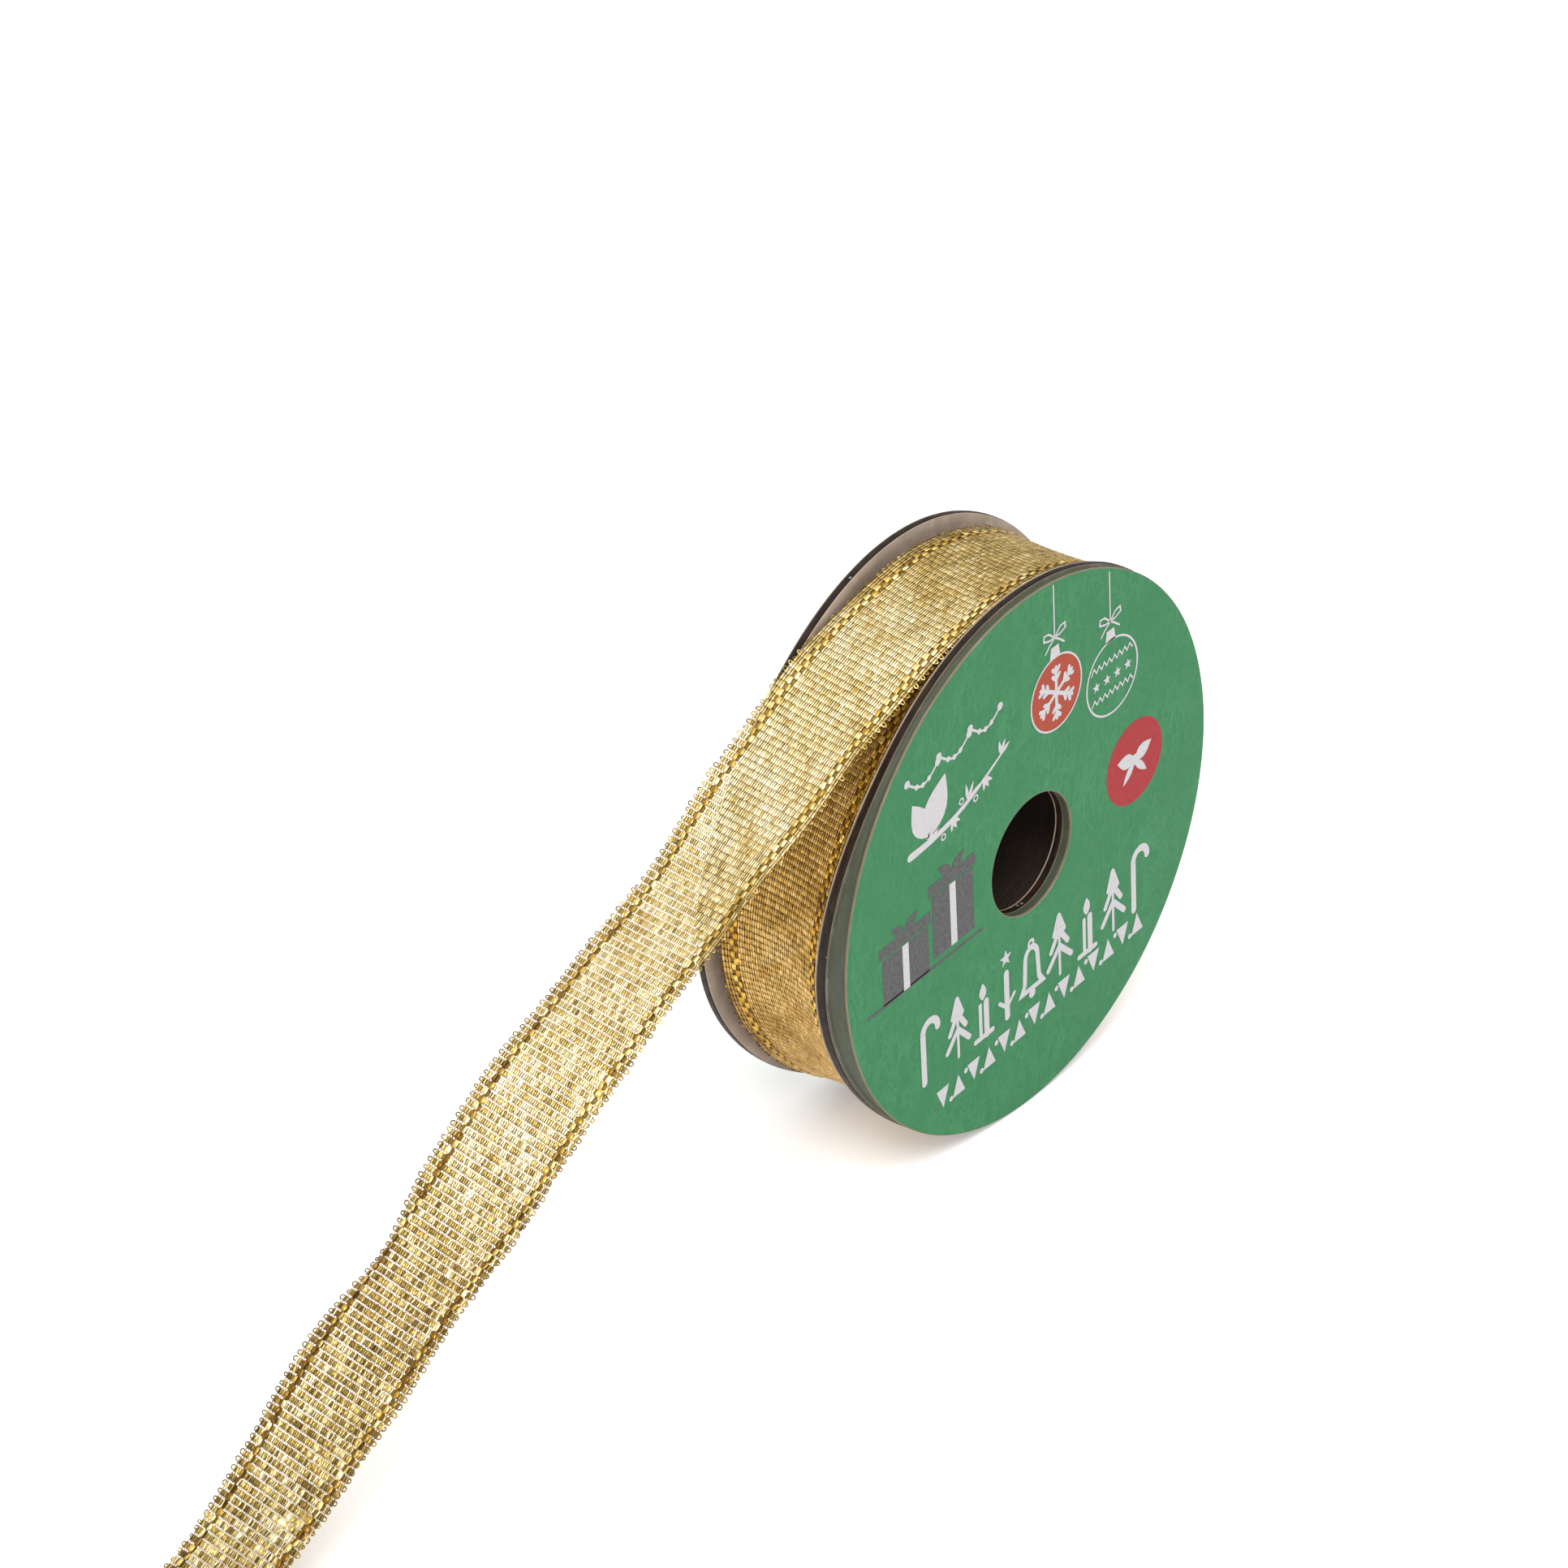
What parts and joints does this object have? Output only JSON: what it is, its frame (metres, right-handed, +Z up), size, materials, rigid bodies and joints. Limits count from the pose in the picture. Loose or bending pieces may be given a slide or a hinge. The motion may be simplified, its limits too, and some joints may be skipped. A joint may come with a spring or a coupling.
{
  "type": "ribbon spool",
  "caption": "Upright card spool wound with gold woven gift ribbon between printed flanges, with a central bore and a free ribbon tail running down to the table.",
  "frame": {"origin": "on the table, at the middle of the footprint of the spool and its free ribbon", "axes": "+Z up, +Y along the spool's axis from the printed front to the back, +X away from the side that the ribbon runs off to"},
  "size_m": [0.1958, 0.0198, 0.067],
  "materials": {
    "label_front": "matt printed card",
    "label_back": "matt printed card",
    "grey_board": "raw grey card edge",
    "liner_paper": "raw paper",
    "brown_board": "dark brown cut board edge",
    "core_paper": "brown paper tube",
    "tape": "clear tape",
    "ribbon": "metallic gold woven ribbon"
  },
  "bodies": {
    "free_ribbon": {"ribbon_tail": "ribbon"},
    "spool": {"front_label": "label_front", "front_spacer": "grey_board", "front_outer_liner": "liner_paper", "front_flange_board": "brown_board", "front_inner_liner": "liner_paper", "back_label": "label_back", "back_spacer": "grey_board", "back_outer_liner": "liner_paper", "back_flange_board": "brown_board", "back_inner_liner": "liner_paper", "core_tube": "core_paper", "start_tape": "tape", "ribbon_winding": "ribbon"}
  },
  "joints": [
    {"name": "spool_spin", "type": "hinge", "parent": "free_ribbon", "child": "spool", "pos_m": [0.06445, 0, 0.0335], "axis": [0, -1, 0], "continuous": true}
  ]
}
